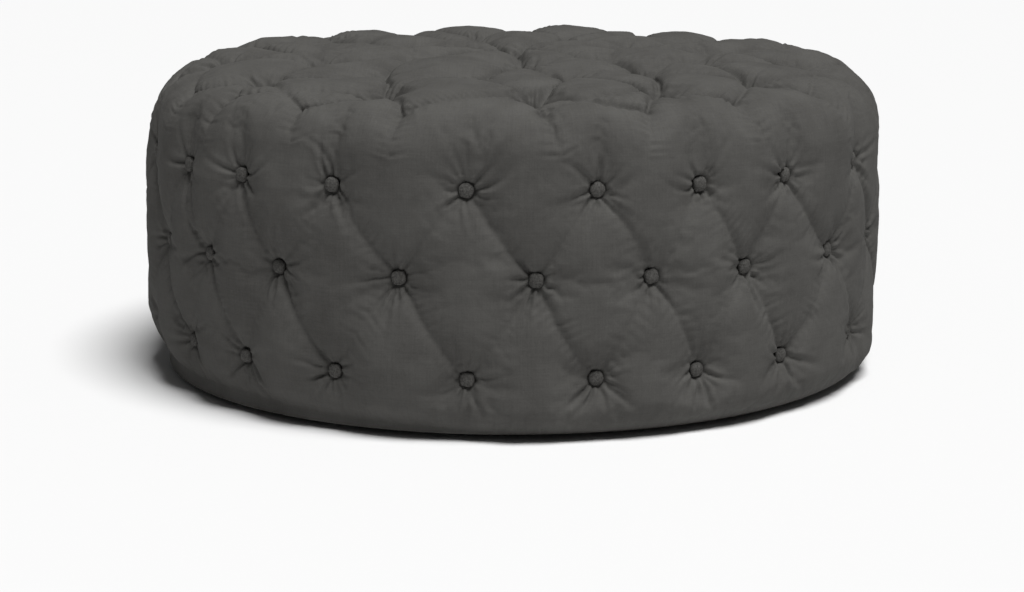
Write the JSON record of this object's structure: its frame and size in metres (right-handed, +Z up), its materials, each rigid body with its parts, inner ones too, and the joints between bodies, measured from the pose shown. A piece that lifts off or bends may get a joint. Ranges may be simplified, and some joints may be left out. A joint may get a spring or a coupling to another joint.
{
  "type": "ottoman_coffee_table",
  "caption": "Round drum ottoman coffee table in charcoal linen-look fabric, with diamond button tufting round the side and over the top",
  "frame": {"origin": "middle of the footprint, on the floor under the glides", "axes": "+Z up; -Y is the side that the picture shows; the drum is round about Z"},
  "size_m": [1.016, 1.0157, 0.4318],
  "materials": {
    "cover_fabric": "charcoal grey linen-look weave, matt",
    "button_fabric": "buttons covered in the same charcoal weave",
    "foam": "cream upholstery foam, open cells",
    "plywood": "bare plywood, sanded",
    "pine": "bare pine, planed",
    "hardboard": "thin bent hardboard, smooth face out",
    "twine": "waxed upholstery twine",
    "toggle_plastic": "moulded nylon",
    "dust_cloth": "black spun-bonded dust cloth",
    "glide_plastic": "moulded black nylon"
  },
  "bodies": {
    "root": {"base_ring": "plywood", "button_ties_centre": "twine", "button_ties_inner": "twine", "button_ties_middle": "twine", "button_ties_outer": "twine", "deck_board": "plywood", "dust_cover": "dust_cloth", "glides": "glide_plastic", "liner_panel_1": "hardboard", "liner_panel_2": "hardboard", "liner_panel_3": "hardboard", "liner_panel_4": "hardboard", "post_1": "pine", "post_2": "pine", "post_3": "pine", "post_4": "pine", "post_5": "pine", "post_6": "pine", "post_7": "pine", "post_8": "pine", "side_buttons_lower_row": "button_fabric", "side_buttons_middle_row": "button_fabric", "side_buttons_upper_row": "button_fabric", "side_foam": "foam", "tie_toggles_centre": "toggle_plastic", "tie_toggles_inner": "toggle_plastic", "tie_toggles_middle": "toggle_plastic", "tie_toggles_outer": "toggle_plastic", "top_buttons_centre": "button_fabric", "top_buttons_inner": "button_fabric", "top_buttons_middle": "button_fabric", "top_buttons_outer": "button_fabric", "top_foam": "foam", "tufted_cover": "cover_fabric"}
  },
  "joints": []
}
